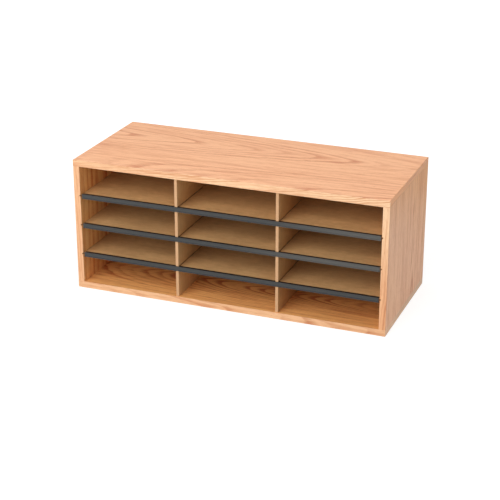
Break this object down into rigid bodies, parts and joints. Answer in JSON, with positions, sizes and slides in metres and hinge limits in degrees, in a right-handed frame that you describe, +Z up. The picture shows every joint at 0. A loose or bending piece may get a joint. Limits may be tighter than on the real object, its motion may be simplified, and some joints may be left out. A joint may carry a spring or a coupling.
{
  "type": "literature organizer",
  "caption": "Open-front oak-laminate desktop organizer with letter-size compartments, upright dividers and pull-out hardboard shelves edged with dark label strips.",
  "frame": {"origin": "centre of the base, on the surface that the case stands on", "axes": "+X to the right along the width as seen from the open front, +Y from the front to the back, +Z up"},
  "size_m": [0.737, 0.308, 0.31],
  "materials": {
    "oak_laminate": "satin oak-grain laminate on particleboard",
    "oak_front_band": "satin oak-grain edge band",
    "hardboard": "smooth tan hardboard",
    "divider_board": "smooth fibreboard with a light front edge",
    "strip_plastic": "satin extruded plastic, charcoal",
    "dowel_wood": "plain hardwood",
    "nail_steel": "bright steel"
  },
  "bodies": {
    "case": {"top_panel": "oak_laminate", "bottom_panel": "oak_laminate", "left_side_panel": "oak_laminate", "right_side_panel": "oak_laminate", "back_panel": "hardboard", "top_front_band": "oak_front_band", "bottom_front_band": "oak_front_band", "left_front_band": "oak_front_band", "right_front_band": "oak_front_band", "top_left_end_band": "oak_laminate", "top_right_end_band": "oak_laminate", "bottom_left_end_band": "oak_laminate", "bottom_right_end_band": "oak_laminate", "left_divider": "divider_board", "right_divider": "divider_board", "dowels": "dowel_wood", "back_nails": "nail_steel"},
    "upper_shelf": {"upper_shelf": "hardboard", "upper_label_strip": "strip_plastic"},
    "middle_shelf": {"middle_shelf": "hardboard", "middle_label_strip": "strip_plastic"},
    "lower_shelf": {"lower_shelf": "hardboard", "lower_label_strip": "strip_plastic"}
  },
  "joints": [
    {"name": "upper_shelf_slide", "type": "slide", "parent": "case", "child": "upper_shelf", "axis": [0, -1, 0], "range_m": [0, 0.31]},
    {"name": "middle_shelf_slide", "type": "slide", "parent": "case", "child": "middle_shelf", "axis": [0, -1, 0], "range_m": [0, 0.31]},
    {"name": "lower_shelf_slide", "type": "slide", "parent": "case", "child": "lower_shelf", "axis": [0, -1, 0], "range_m": [0, 0.31]}
  ]
}
